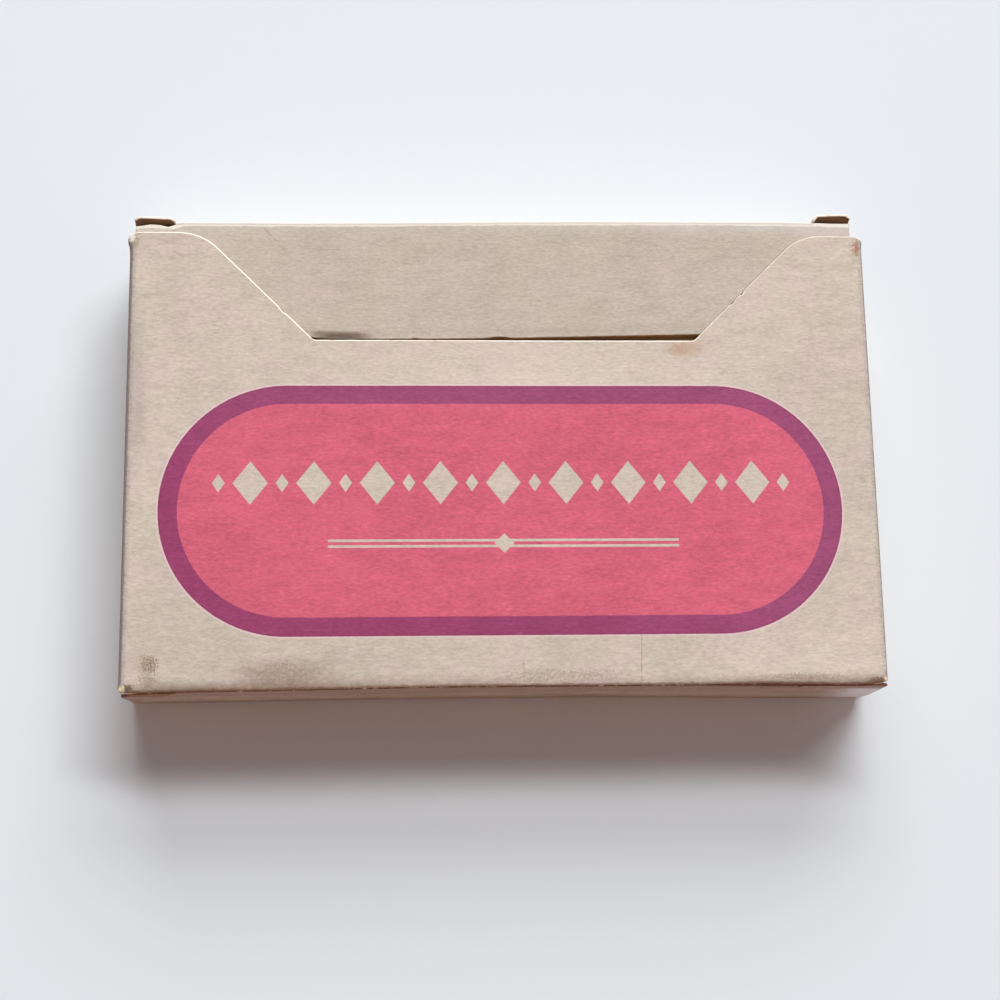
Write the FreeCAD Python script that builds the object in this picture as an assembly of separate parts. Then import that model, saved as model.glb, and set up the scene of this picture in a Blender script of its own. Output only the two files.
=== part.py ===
"""Folding paperboard carton for 3 x 5 inch index cards, lying on its back.

Millimetres. X runs across the carton, +Y towards the lid, +Z out of the printed front panel.
The origin is the middle of the outline on the back panel's outer face, where the carton rests.
"""
import FreeCAD, Part
import os
from math import atan2, cos, radians, sin, tan

Vector = FreeCAD.Vector

# ---- driving dimensions -------------------------------------------------------------------
BOARD = 0.5                    # thickness of the paperboard
WIDTH = 129.5                  # across the two side panels, outside
DEPTH = 17.5                   # back panel to front panel, outside
TOTAL_HEIGHT = 83.6            # bottom panel to the tips of the lid's ears

LID_FACE_HEIGHT = 82.3         # bottom panel's outer face to the lid's outer face
SHOULDER_HEIGHT = 80.75        # bottom panel's outer face to the front panel's shoulders
CORNER_RADIUS = 0.8            # outside of the folds between the tube's panels

FRONT_EDGE_RISE = 0.2          # bottom panel's outer face to the front panel's raw lower edge

NOTCH_DEPTH = 19.75            # below the shoulders
NOTCH_WIDTH = 66.6             # along the bottom of the notch
NOTCH_ANGLE = 45.0             # slope of the notch's sides
NOTCH_CORNER_RADIUS = 1.2
NOTCH_SHOULDER_RADIUS = 9.6

KNUCKLE_RADIUS = 0.25          # rounded inside of a crease, on its axis
CREASE_GAP = 0.1               # from a knuckle to the panel beside it
CREASE_INSET = 0.3             # height of the back creases' axes above the rest plane

LID_HALF_WIDTH = 63.6
LID_CREASE_Z = 16.7            # height of the lid's front crease
SLIT_START = 56.3              # the lid's fold ends here and its slit locks begin
EAR_RISE = 1.3                 # how far the ears beside the slits stand out of the lid
EAR_REACH = 7.5                # length over which an ear bends outwards
EAR_TIP_Z = 16.9
TUCK_CLEARANCE = 0.15          # between the tuck flap and the edge of the notch
TUCK_GAP = 0.75                # open slot along the tuck flap's free edge
TUCK_HALF_WIDTH = 63.3

DUST_LENGTH = 14.0
DUST_DROP = 1.0                # from a closure panel's inner face to the dust flap under it
DUST_NEAR_Z = 1.6              # edges of a dust flap at its crease, above the rest plane
DUST_FAR_Z = 15.9
DUST_SLOPE = 1.15              # run of a dust flap's bevel for each millimetre of rise
DUST_BEVEL_REACH = 1.0         # where the bevel's line would meet the rest plane
DUST_TIP_TAPER = 0.5
DUST_CORNER_RADIUS = 1.5

BOTTOM_CREASE_Z = 15.8         # height of the bottom panel's front crease
BOTTOM_TUCK_LENGTH = 10.0
BOTTOM_TUCK_HALF_WIDTH = 49.5
BOTTOM_TUCK_TAPER = 3.0
BOTTOM_TUCK_RADIUS = 3.0
BOTTOM_EDGE_Z = 16.4           # cut edge of the bottom panel beyond its fold

GLUE_FLAP_DEPTH = 12.0
GLUE_FLAP_TAPER = 4.0
GLUE_THICKNESS = 0.1
GLUE_WIDTH = 7.0

CARD_WIDTH = 127.0             # 5 in
CARD_HEIGHT = 76.2             # 3 in
CARD_THICKNESS = 0.25
CARD_COUNT = 30
CARD_SHUFFLE = 0.25            # how far a card lies out of line with the stack
CARD_TURNS = (2.4, 1.7)        # step from card to card in that spread, across and along

# ---- places worked out from them ----------------------------------------------------------
HALF_WIDTH = WIDTH / 2
BOTTOM_Y = -TOTAL_HEIGHT / 2
LID_Y = BOTTOM_Y + LID_FACE_HEIGHT
SHOULDER_Y = BOTTOM_Y + SHOULDER_HEIGHT
NOTCH_Y = SHOULDER_Y - NOTCH_DEPTH
FRONT_INNER_Z = DEPTH - BOARD
FRONT_EDGE_Y = BOTTOM_Y + FRONT_EDGE_RISE

LID_AXIS_Y = LID_Y - BOARD / 2
BOTTOM_AXIS_Y = BOTTOM_Y + BOARD / 2
DUST_TOP_Y = LID_Y - BOARD - DUST_DROP - BOARD / 2
DUST_BOTTOM_Y = BOTTOM_Y + BOARD + DUST_DROP + BOARD / 2
DUST_AXIS_X = HALF_WIDTH - BOARD / 2
CREASE_END = KNUCKLE_RADIUS + CREASE_GAP

SIDE_TOP_Y = DUST_TOP_Y - CREASE_END
SIDE_BOTTOM_Y = DUST_BOTTOM_Y + CREASE_END
SEAM_X = -HALF_WIDTH + BOARD + GLUE_THICKNESS


# ---- shape helpers ------------------------------------------------------------------------
def box(low, high):
    """Solid block between two opposite corners."""
    size = [b - a for a, b in zip(low, high)]
    return Part.makeBox(size[0], size[1], size[2], Vector(*low))


def rounded_outline(corners):
    """Closed wire in the XY plane from (x, y, radius) corners, each rounded by its radius."""
    count = len(corners)
    points = [Vector(x, y, 0) for x, y, _ in corners]
    edges = []
    spans = []
    for index, (corner, (_, _, radius)) in enumerate(zip(points, corners)):
        back = (points[index - 1] - corner).normalize()
        ahead = (points[(index + 1) % count] - corner).normalize()
        if radius == 0:
            spans.append((corner, None, corner))
            continue
        half_angle = back.getAngle(ahead) / 2
        tangent = radius / tan(half_angle)
        middle = (back + ahead).normalize() * (radius / sin(half_angle) - radius)
        spans.append((corner + back * tangent, corner + middle, corner + ahead * tangent))
    for index, (start, middle, end) in enumerate(spans):
        if middle is not None:
            edges.append(Part.Arc(start, middle, end).toShape())
        following = spans[(index + 1) % count][0]
        if end.distanceToPoint(following) > 1e-6:
            edges.append(Part.LineSegment(end, following).toShape())
    return Part.Wire(edges)


def sheet(corners, low_z, thickness=BOARD):
    """Flat piece of board lying parallel to the back panel, with a rounded outline."""
    face = Part.Face(rounded_outline(corners))
    face.translate(Vector(0, 0, low_z))
    return face.extrude(Vector(0, 0, thickness))


def knuckle(start, direction, length):
    """Rounded inside of a crease, along its axis."""
    return Part.makeCylinder(KNUCKLE_RADIUS, length, Vector(*start), Vector(*direction))


def corner_bend(x_side, z_side, centre_x, low_y, high_y):
    """Quarter-round fold along Y that joins a front or back panel to the panel beside it."""
    centre_z = CORNER_RADIUS if z_side < 0 else DEPTH - CORNER_RADIUS
    outer = Part.makeCylinder(CORNER_RADIUS, high_y - low_y, Vector(centre_x, low_y, centre_z),
                              Vector(0, 1, 0))
    inner = Part.makeCylinder(CORNER_RADIUS - BOARD, high_y - low_y,
                              Vector(centre_x, low_y, centre_z), Vector(0, 1, 0))
    reach = CORNER_RADIUS
    quarter_x = sorted((centre_x, centre_x + x_side * reach))
    quarter_z = sorted((centre_z, centre_z + z_side * reach))
    quarter = box((quarter_x[0], low_y, quarter_z[0]), (quarter_x[1], high_y, quarter_z[1]))
    return outer.cut(inner).common(quarter)


def mirrored_left_right(shape):
    """The same shape on the other side of the carton."""
    return shape.mirror(Vector(0, 0, 0), Vector(1, 0, 0))


def mirrored_outline(right_half):
    """Full outline from the corners of its right half, listed from the bottom middle upwards."""
    left_half = [(-x, y, radius) for x, y, radius in reversed(right_half)]
    return right_half + left_half


def single_solid(*shapes):
    """The shapes fused into one clean solid."""
    fused = shapes[0]
    if len(shapes) > 1:
        fused = shapes[0].multiFuse(list(shapes[1:]))
    return fused.removeSplitter()


# ---- the tube: four panels round the cards, and the glued seam ----------------------------
def front_panel():
    """Front panel with the notch for the tuck flap and the folds to both side panels."""
    edge_x = HALF_WIDTH - CORNER_RADIUS
    half_bottom = NOTCH_WIDTH / 2
    half_top = half_bottom + NOTCH_DEPTH / tan(radians(NOTCH_ANGLE))
    outline = mirrored_outline([
        (edge_x, FRONT_EDGE_Y, 0),
        (edge_x, SHOULDER_Y, 0),
        (half_top, SHOULDER_Y, NOTCH_SHOULDER_RADIUS),
        (half_bottom, NOTCH_Y, NOTCH_CORNER_RADIUS),
    ])
    plate = sheet(outline, FRONT_INNER_Z)
    right = corner_bend(1, 1, edge_x, FRONT_EDGE_Y, SHOULDER_Y)
    left = corner_bend(-1, 1, -edge_x, FRONT_EDGE_Y, SHOULDER_Y)
    return single_solid(plate, right, left)


def back_panel():
    """Back panel between the two closure creases, with the folds to its neighbours."""
    low_y = BOTTOM_AXIS_Y + CREASE_END
    high_y = LID_AXIS_Y - CREASE_END
    right_x = HALF_WIDTH - CORNER_RADIUS
    left_x = SEAM_X + CORNER_RADIUS
    plate = box((left_x, low_y, 0), (right_x, high_y, BOARD))
    right = corner_bend(1, -1, right_x, SIDE_BOTTOM_Y, SIDE_TOP_Y)
    left = corner_bend(-1, -1, left_x, SIDE_BOTTOM_Y, SIDE_TOP_Y)
    return single_solid(plate, right, left)


def right_side_panel():
    """Side panel between the folds of the back and front panels."""
    return box((HALF_WIDTH - BOARD, SIDE_BOTTOM_Y, CORNER_RADIUS),
               (HALF_WIDTH, SIDE_TOP_Y, DEPTH - CORNER_RADIUS))


def left_side_panel():
    """Side panel that ends in a raw edge at the seam, outside the glue flap."""
    return box((-HALF_WIDTH, SIDE_BOTTOM_Y, 0),
               (-HALF_WIDTH + BOARD, SIDE_TOP_Y, DEPTH - CORNER_RADIUS))


def glue_flap():
    """Seam flap folded up from the back panel, glued inside the left side panel."""
    outline = Part.makePolygon([
        Vector(SEAM_X, SIDE_BOTTOM_Y, CORNER_RADIUS),
        Vector(SEAM_X, SIDE_TOP_Y, CORNER_RADIUS),
        Vector(SEAM_X, SIDE_TOP_Y - GLUE_FLAP_TAPER, GLUE_FLAP_DEPTH),
        Vector(SEAM_X, SIDE_BOTTOM_Y + GLUE_FLAP_TAPER, GLUE_FLAP_DEPTH),
        Vector(SEAM_X, SIDE_BOTTOM_Y, CORNER_RADIUS),
    ])
    return Part.Face(outline).extrude(Vector(BOARD, 0, 0))


def seam_glue():
    """Strip of glue between the flap and the left side panel."""
    middle_z = (CORNER_RADIUS + GLUE_FLAP_DEPTH) / 2
    low_y = SIDE_BOTTOM_Y + GLUE_FLAP_TAPER
    high_y = SIDE_TOP_Y - GLUE_FLAP_TAPER
    return box((SEAM_X - GLUE_THICKNESS, low_y, middle_z - GLUE_WIDTH / 2),
               (SEAM_X, high_y, middle_z + GLUE_WIDTH / 2))


# ---- top closure --------------------------------------------------------------------------
def lid_ear():
    """End of the lid beside a slit lock, bent outwards so that the slit stands open."""
    start_z = EAR_TIP_Z - EAR_REACH
    bend_radius = (EAR_REACH ** 2 + EAR_RISE ** 2) / (2 * EAR_RISE)
    turn = atan2(EAR_REACH, bend_radius - EAR_RISE)

    def on_bend(offset, angle):
        radius = bend_radius - offset
        return Vector(0, LID_Y + bend_radius - radius * cos(angle), start_z + radius * sin(angle))

    outer_start, outer_middle, outer_end = (on_bend(0, turn * share) for share in (0, 0.5, 1))
    inner_start, inner_middle, inner_end = (on_bend(-BOARD, turn * share) for share in (0, 0.5, 1))
    profile = Part.Wire([
        Part.Arc(outer_start, outer_middle, outer_end).toShape(),
        Part.LineSegment(outer_end, inner_end).toShape(),
        Part.Arc(inner_end, inner_middle, inner_start).toShape(),
        Part.LineSegment(inner_start, outer_start).toShape(),
    ])
    ear = Part.Face(profile).extrude(Vector(LID_HALF_WIDTH - SLIT_START, 0, 0))
    ear.translate(Vector(SLIT_START, 0, 0))
    return ear


def lid_panel():
    """Top closure panel, hinged to the back panel, with a knuckle at each crease."""
    low_y = LID_Y - BOARD
    ear_start_z = EAR_TIP_Z - EAR_REACH
    wide = box((-LID_HALF_WIDTH, low_y, CREASE_INSET), (LID_HALF_WIDTH, LID_Y, ear_start_z))
    middle = box((-SLIT_START, low_y, ear_start_z), (SLIT_START, LID_Y, LID_CREASE_Z))
    back = knuckle((-LID_HALF_WIDTH, LID_AXIS_Y, CREASE_INSET), (1, 0, 0), 2 * LID_HALF_WIDTH)
    front = knuckle((-SLIT_START, LID_AXIS_Y, LID_CREASE_Z), (1, 0, 0), 2 * SLIT_START)
    ear = lid_ear()
    return single_solid(wide, middle, back, front, ear, mirrored_left_right(ear))


def lid_tuck_flap():
    """Flap that fills the notch and lies just under the front panel's inner face."""
    clear = TUCK_CLEARANCE
    half_angle = radians(NOTCH_ANGLE) / 2
    half_bottom = NOTCH_WIDTH / 2 + (TUCK_GAP / tan(2 * half_angle)) - clear / sin(2 * half_angle)
    shoulder_y = SHOULDER_Y + clear
    free_y = NOTCH_Y + TUCK_GAP
    half_top = half_bottom + (shoulder_y - free_y) / tan(2 * half_angle)
    fold_y = LID_AXIS_Y - CREASE_END
    slit_y = fold_y - clear
    outline = mirrored_outline([
        (half_bottom, free_y, NOTCH_CORNER_RADIUS),
        (half_top, shoulder_y, NOTCH_SHOULDER_RADIUS - clear),
        (TUCK_HALF_WIDTH, shoulder_y, 0),
        (TUCK_HALF_WIDTH, slit_y, 0),
        (SLIT_START, slit_y, 0),
        (SLIT_START - clear, fold_y, 0),
    ])
    return sheet(outline, LID_CREASE_Z - BOARD / 2)


# ---- dust flaps ---------------------------------------------------------------------------
def right_dust_flap(axis_y):
    """Dust flap folded in from the right side panel, bevelled where the closure panel hinges."""
    bevel_start = DUST_BEVEL_REACH + DUST_SLOPE * DUST_NEAR_Z
    bevel_end_z = (DUST_LENGTH - DUST_BEVEL_REACH) / DUST_SLOPE
    outline = rounded_outline([
        (0, DUST_NEAR_Z, 0),
        (bevel_start, DUST_NEAR_Z, 0),
        (DUST_LENGTH, bevel_end_z, DUST_CORNER_RADIUS),
        (DUST_LENGTH, DUST_FAR_Z - DUST_TIP_TAPER, DUST_CORNER_RADIUS),
        (0, DUST_FAR_Z, 0),
    ])
    plate = Part.Face(outline).extrude(Vector(0, 0, BOARD))
    plate.rotate(Vector(0, 0, 0), Vector(1, 0, 0), 90)
    plate = plate.mirror(Vector(0, 0, 0), Vector(1, 0, 0))
    plate.translate(Vector(DUST_AXIS_X, axis_y + BOARD / 2, 0))
    roll = knuckle((DUST_AXIS_X, axis_y, DUST_NEAR_Z), (0, 0, 1), DUST_FAR_Z - DUST_NEAR_Z)
    return single_solid(plate, roll)


# ---- bottom closure -----------------------------------------------------------------------
def bottom_panel():
    """Bottom closure panel, hinged to the back panel, with its front fold rounded over."""
    high_y = BOTTOM_Y + BOARD
    half_fold = BOTTOM_TUCK_HALF_WIDTH
    wide = box((-LID_HALF_WIDTH, BOTTOM_Y, CREASE_INSET), (LID_HALF_WIDTH, high_y, BOTTOM_CREASE_Z))
    back = knuckle((-LID_HALF_WIDTH, BOTTOM_AXIS_Y, CREASE_INSET), (1, 0, 0), 2 * LID_HALF_WIDTH)
    fold = Part.makeCylinder(BOARD, 2 * half_fold, Vector(-half_fold, high_y, BOTTOM_CREASE_Z),
                             Vector(1, 0, 0))
    outer_quarter = box((-half_fold, BOTTOM_Y, BOTTOM_CREASE_Z),
                        (half_fold, high_y, BOTTOM_CREASE_Z + BOARD))
    lip = box((half_fold, BOTTOM_Y, BOTTOM_CREASE_Z), (LID_HALF_WIDTH, high_y, BOTTOM_EDGE_Z))
    return single_solid(wide, back, fold.common(outer_quarter), lip, mirrored_left_right(lip))


def bottom_tuck_flap():
    """Short flap tucked in behind the front panel's lower edge."""
    fold_y = BOTTOM_Y + BOARD + CREASE_GAP / 2
    outline = mirrored_outline([
        (BOTTOM_TUCK_HALF_WIDTH, fold_y, 0),
        (BOTTOM_TUCK_HALF_WIDTH - BOTTOM_TUCK_TAPER, fold_y + BOTTOM_TUCK_LENGTH,
         BOTTOM_TUCK_RADIUS),
    ])
    return sheet(outline, BOTTOM_CREASE_Z)


# ---- contents -----------------------------------------------------------------------------
def index_cards():
    """Loose stack of cards on the back panel, each a little out of line with the next."""
    inner_left = SEAM_X + BOARD
    inner_right = HALF_WIDTH - BOARD
    middle_x = (inner_left + inner_right) / 2
    low_y = DUST_BOTTOM_Y + BOARD
    cards = []
    for number in range(CARD_COUNT):
        shift_x = CARD_SHUFFLE * sin(CARD_TURNS[0] * number)
        shift_y = CARD_SHUFFLE * (1 + cos(CARD_TURNS[1] * number))
        low = (middle_x - CARD_WIDTH / 2 + shift_x, low_y + shift_y, BOARD + number * CARD_THICKNESS)
        high = (low[0] + CARD_WIDTH, low[1] + CARD_HEIGHT, low[2] + CARD_THICKNESS)
        cards.append(box(low, high))
    return Part.Compound(cards)


# ---- the whole carton ---------------------------------------------------------------------
def build():
    """Every piece of the carton, by name."""
    top_dust = right_dust_flap(DUST_TOP_Y)
    bottom_dust = right_dust_flap(DUST_BOTTOM_Y)
    return {
        "front_panel": front_panel(),
        "back_panel": back_panel(),
        "left_side_panel": left_side_panel(),
        "right_side_panel": right_side_panel(),
        "glue_flap": glue_flap(),
        "seam_glue": seam_glue(),
        "index_cards": index_cards(),
        "lid_panel": lid_panel(),
        "lid_tuck_flap": lid_tuck_flap(),
        "right_top_dust_flap": top_dust,
        "left_top_dust_flap": mirrored_left_right(top_dust),
        "bottom_panel": bottom_panel(),
        "bottom_tuck_flap": bottom_tuck_flap(),
        "right_bottom_dust_flap": bottom_dust,
        "left_bottom_dust_flap": mirrored_left_right(bottom_dust),
    }


os.makedirs("parts", exist_ok=True)
for name, shape in build().items():
    shape.exportStep(os.path.join("parts", name + ".step"))
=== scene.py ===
"""Looks of a folding paperboard carton for 3 x 5 inch index cards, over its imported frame.

The sizes below are millimetres in the frame's axes: X across the carton, Y towards the lid,
Z out of the printed front panel, with the carton lying on its back at Z = 0.
"""
from math import cos, hypot, pi, radians, sin, sqrt

import bpy
import numpy as np
from mathutils import Matrix, Vector, noise


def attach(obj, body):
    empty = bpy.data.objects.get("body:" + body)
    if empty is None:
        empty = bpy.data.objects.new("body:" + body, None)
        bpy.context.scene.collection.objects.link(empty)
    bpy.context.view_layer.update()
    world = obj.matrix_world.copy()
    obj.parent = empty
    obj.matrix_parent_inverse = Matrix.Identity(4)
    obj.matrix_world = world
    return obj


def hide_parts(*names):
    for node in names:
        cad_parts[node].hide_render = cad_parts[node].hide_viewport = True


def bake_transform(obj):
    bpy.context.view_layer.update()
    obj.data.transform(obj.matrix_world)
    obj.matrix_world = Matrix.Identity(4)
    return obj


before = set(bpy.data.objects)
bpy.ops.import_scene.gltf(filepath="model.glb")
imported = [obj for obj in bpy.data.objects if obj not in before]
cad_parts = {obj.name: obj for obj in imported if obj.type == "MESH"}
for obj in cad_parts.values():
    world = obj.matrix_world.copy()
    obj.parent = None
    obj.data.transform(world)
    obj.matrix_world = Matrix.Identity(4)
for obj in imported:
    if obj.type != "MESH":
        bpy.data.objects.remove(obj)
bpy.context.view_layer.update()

MM = 0.001

# ---- sizes of the board and its panels ----
BOARD = 0.5                     # thickness of the board
HALF_WIDTH = 64.75
DEPTH = 17.5
CORNER_RADIUS = 0.8             # outside of the tube's folds
SEAM_X = -64.15                 # outer face of the glue flap
FRONT_EDGE_Y = -41.6            # front panel's raw lower edge
FRONT_CORNER_DROP = 0.55        # of its rounded corners
SHOULDER_Y = 38.95              # front panel's upper edge, beside the notch
NOTCH_Y = 19.2                  # bottom of the notch
NOTCH_HALF_WIDTH = 33.3         # at its bottom, where the 45 degree sides start
NOTCH_SHIFT = 0.33              # of the whole notch, to the right
NOTCH_CORNER_RADIUS = 1.2
NOTCH_SHOULDER_RADIUS = 9.6
NICK_HALF_WIDTH = 0.3           # of the tears in the notch's edge
CREASE_REACH = 0.35             # from a crease's axis to the panels that it joins
BOTTOM_FOLD_REACH = 0.72        # the same for the bottom's fold, which closes further

LID_Y = 40.5                    # lid's outer face
LID_AXIS_Y = 40.25
BACK_CREASE_Z = 0.3             # axes of the creases along the back panel
LID_CREASE_Z = 16.7
LID_HALF_WIDTH = 63.6
SLIT_START = 56.3               # the lid's fold ends and its slit locks begin here
EAR_TIP_Z = 17.12               # of the ears beside the slit locks
EAR_BEND_Z = 9.4                # where they start to stand out of the lid
EAR_CORNER_DROP = 0.6           # of an ear's rounded corner
BOTTOM_EAR_TIP_Z = 16.9
TUCK_Z = 16.95                  # outer face of the lid's tuck flap
TUCK_HALF_WIDTH = 63.3
TUCK_CLEARANCE = 0.04

BOTTOM_Y = -41.8                # bottom panel's outer face
BOTTOM_AXIS_Y = -41.55
BOTTOM_FOLD_Z = 16.05           # middle of the board where the bottom panel folds over
BOTTOM_TUCK_HALF_WIDTH = 49.5
BOTTOM_TUCK_LENGTH = 10.55
BOTTOM_TUCK_CORNER = (6, 8)     # width and height of its rounded corners

DUST_AXIS_X = 64.5
DUST_TOP_Y = 38.75
DUST_BOTTOM_Y = -40.05
DUST_LENGTH = 14.0
DUST_TIP = 2.0                  # length of its rounded end
DUST_STRAIGHT = 2.84            # where its lower side starts to slope
DUST_LOW_Z = 1.6                # ends of the dust flaps' creases
DUST_HIGH_Z = 15.9
GLUE_FLAP_Z = 12.0              # glue flap's raw edge
GLUE_FLAP_TAPER = 4.0

SIDE_LEAN = 0.3                 # of the left side, at the front
NOTCH_NICKS = [(-38.4, 0.4), (40.8, 0.35), (42.6, 0.4)]    # place along X and depth

CARD = 0.25                     # thickness of an index card
CARD_HEAD_Y = 28.0              # red line of the top card
CARD_RULE_PITCH = 6.35


# ---- small number helpers ----
def ease(value):
    """0 to 1 with soft ends."""
    value = np.clip(value, 0.0, 1.0)
    return value * value * (3 - 2 * value)


def steps(marks, size):
    """The marks, with evenly spaced values between them no further apart than size."""
    values = [marks[0]]
    for low, high in zip(marks, marks[1:]):
        count = max(1, int(np.ceil((high - low) / size)))
        values.extend(low + (high - low) * k / count for k in range(1, count + 1))
    return np.array(values)


def both_sides(middle, *right):
    """The middle's values and those to its right, with their mirror images to its left."""
    return np.concatenate([-part[::-1] for part in right[::-1]] + [middle, *right])


def along(x, pairs):
    """Value at x on the line through (x, value) pairs."""
    return np.interp(x, *zip(*pairs))


def ripple(x, y, size, seed):
    """Smooth unevenness from about -1 to 1, with bumps of that size in millimetres."""
    return noise.noise(Vector((x / size, y / size, seed)))


def add_object(name, data):
    """Object in the scene with this mesh, light or camera."""
    item = bpy.data.objects.new(name, data)
    bpy.context.scene.collection.objects.link(item)
    return item


# ---- board ----
def make_object(name, points, faces, kinds, materials, sharp=()):
    """Mesh object from points in millimetres. kinds gives each face's place in materials."""
    mesh = bpy.data.meshes.new(name)
    mesh.from_pydata([tuple(p * MM) for p in np.asarray(points, float)], [], faces)
    for material in materials:
        mesh.materials.append(material)
    mesh.polygons.foreach_set("material_index", kinds)
    mesh.polygons.foreach_set("use_smooth", [True] * len(faces))
    sharp_pairs = {frozenset(pair) for pair in sharp}
    mesh.edges.foreach_set("use_edge_sharp",
                           [frozenset(edge.vertices) in sharp_pairs for edge in mesh.edges])
    mesh.validate()
    return add_object(name, mesh)


def face_normals(grid):
    """Unit normals of a grid of points, on the side where its two directions turn left."""
    normals = np.cross(np.gradient(grid, axis=0), np.gradient(grid, axis=1))
    return normals / np.linalg.norm(normals, axis=2, keepdims=True)


def rim_directions(loop, normals, cut):
    """Direction out of the sheet at each point of its outline, mitred where two edges meet."""
    following = np.roll(loop, -1, axis=0) - loop
    outward = np.cross(following, normals)
    outward /= np.linalg.norm(outward, axis=1, keepdims=True)
    outward *= cut[:, None]
    before = np.roll(outward, 1, axis=0)
    both = (np.linalg.norm(before, axis=1) > 0.5) & (np.linalg.norm(outward, axis=1) > 0.5)
    total = before + outward
    scale = np.where(both, 1 + np.sum(before * outward, axis=1), 1.0)
    return total / np.maximum(scale, 0.4)[:, None]


def board(name, grid, materials, cut="lrt", rounding=0.08):
    """Sheet of board with its printed face on a grid of points, given as rows of them.

    cut names the sides that end in a raw edge, left, right, bottom and top as the printed face
    is looked at with the grid's first direction to the right. The others go on into a fold.
    materials are for the printed face, the inside and the raw edges.
    """
    grid = np.array(grid, float)
    across, up = grid.shape[:2]
    normals = face_normals(grid)
    loop_index = ([(i, 0) for i in range(across - 1)] + [(across - 1, j) for j in range(up - 1)]
                  + [(i, up - 1) for i in range(across - 1, 0, -1)]
                  + [(0, j) for j in range(up - 1, 0, -1)])
    sides = ("b" * (across - 1) + "r" * (up - 1) + "t" * (across - 1) + "l" * (up - 1))
    is_cut = np.array([side in cut for side in sides], float)
    rows, columns = np.array(loop_index).T
    loop, loop_normals = grid[rows, columns], normals[rows, columns]
    out = rim_directions(loop, loop_normals, is_cut)

    inner_rounding = min(rounding, 0.12)
    outer_face, inner_face = grid.copy(), grid - BOARD * normals
    outer_face[rows, columns] = loop - rounding * out
    inner_face[rows, columns] = loop - BOARD * loop_normals - inner_rounding * out
    half = 1 - sqrt(0.5)
    rings = [
        loop - rounding * half * out - rounding * half * loop_normals,
        loop - rounding * loop_normals,
        loop - (BOARD - inner_rounding) * loop_normals,
        loop - (BOARD - inner_rounding * half) * loop_normals - inner_rounding * half * out,
    ]

    count, length = across * up, len(loop)
    points = np.concatenate([outer_face.reshape(-1, 3), inner_face.reshape(-1, 3)] + rings)
    cells = [(i * up + j, (i + 1) * up + j, (i + 1) * up + j + 1, i * up + j + 1)
             for i in range(across - 1) for j in range(up - 1)]
    faces = cells + [tuple(count + k for k in reversed(cell)) for cell in cells]
    kinds = [0] * len(cells) + [1] * len(cells)
    outer_ring = [i * up + j for i, j in loop_index]
    ring_points = ([outer_ring] + [[2 * count + r * length + k for k in range(length)]
                                   for r in range(len(rings))]
                   + [[count + k for k in outer_ring]])
    for upper, lower in zip(ring_points, ring_points[1:]):
        for k in range(length):
            after = (k + 1) % length
            faces.append((upper[k], lower[k], lower[after], upper[after]))
            kinds.append(2)
    sharp = [(ring[k], ring[(k + 1) % length])
             for ring in (ring_points[0], ring_points[-1]) for k in range(length)]
    return make_object(name, points, faces, kinds, materials, sharp)


def crease(name, axis, first, second, places, materials, shift=None, steady=None,
           roll=0.25, reach=CREASE_REACH):
    """Bent board between two panels that a hinge joins.

    first and second are the directions from the axis into each body's panel. places are the
    distances along X or Z at which the strip is drawn, and shift moves it off the axis there.
    steady, "first" or "second", picks a direction across the shift; the two points worked out from it are
    not used.
    """
    axis, first, second = (np.array(v, float) for v in (axis, first, second))
    length_direction = np.cross(first, second)
    length_direction = np.abs(length_direction / np.linalg.norm(length_direction))
    half = BOARD / 2
    turn = [(roll - half - roll * sin(a), roll - half - roll * cos(a))
            for a in np.linspace(0, pi / 2, 7)]
    outline = [(reach, -half)] + turn + [(-half, reach), (half, reach), (half, half), (reach, half)]
    points, faces, kinds = [], [], []
    for place in places:
        offset = np.array(shift(place), float) if shift else np.zeros(3)
        for a, b in outline:
            points.append(axis + offset + length_direction * place + a * first + b * second)
    size = len(outline)
    for k in range(len(places) - 1):
        for m in range(size):
            after = (m + 1) % size
            faces.append((k * size + m, k * size + after, (k + 1) * size + after, (k + 1) * size + m))
            kinds.append(0 if m < len(turn) + 1 else 1)
    caps = (range(size), range(len(places) * size - size, len(places) * size))
    faces += [tuple(caps[0])[::-1], tuple(caps[1])]
    kinds += [2, 2]
    if np.dot(np.cross(first, second), length_direction) > 0:
        faces = [face[::-1] for face in faces]
    sharp = [(ring[m], ring[(m + 1) % size]) for ring in caps for m in range(size)]
    corners = [0] + list(range(len(turn) + 1, size))
    sharp += [(k * size + m, (k + 1) * size + m) for k in range(len(places) - 1) for m in corners]
    strip = make_object(name, points, faces, kinds, materials, sharp)
    if steady:
        sign, direction = (1, first) if steady == "first" else (-1, second)
        start, end = [axis + direction * d for d in (reach - 0.01, half + 0.01)[::sign]]
    else:
        diagonal = (second - first) / np.linalg.norm(second - first)
        start, end = axis - diagonal * 0.07, axis + diagonal * 0.07
    tuple(start * MM)
    tuple(end * MM)
    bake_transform(strip)


def dress(piece, body, node):
    """The piece rides on its body, and stands for the frame's node."""
    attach(piece, body)
    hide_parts(node)


# ---- materials ----
def linear(red, green, blue):
    """Colour for a shader from 0 to 255 values as they appear on screen."""
    values = [v / 255 for v in (red, green, blue)]
    return tuple(v / 12.92 if v <= 0.04045 else ((v + 0.055) / 1.055) ** 2.4 for v in values) + (1,)


def put(socket, value):
    """Set a node's input, or link it to another node's output."""
    value = getattr(value, "socket", value)
    if isinstance(value, bpy.types.NodeSocket):
        socket.id_data.links.new(value, socket)
    else:
        socket.default_value = value


def add_node(tree, kind, inputs=None, **settings):
    """New shader node, with its settings and then its inputs."""
    node = tree.nodes.new("ShaderNode" + kind)
    for name, setting in settings.items():
        setattr(node, name, setting)
    for name, value in (inputs or {}).items():
        put(node.inputs[name], value)
    return node


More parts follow.
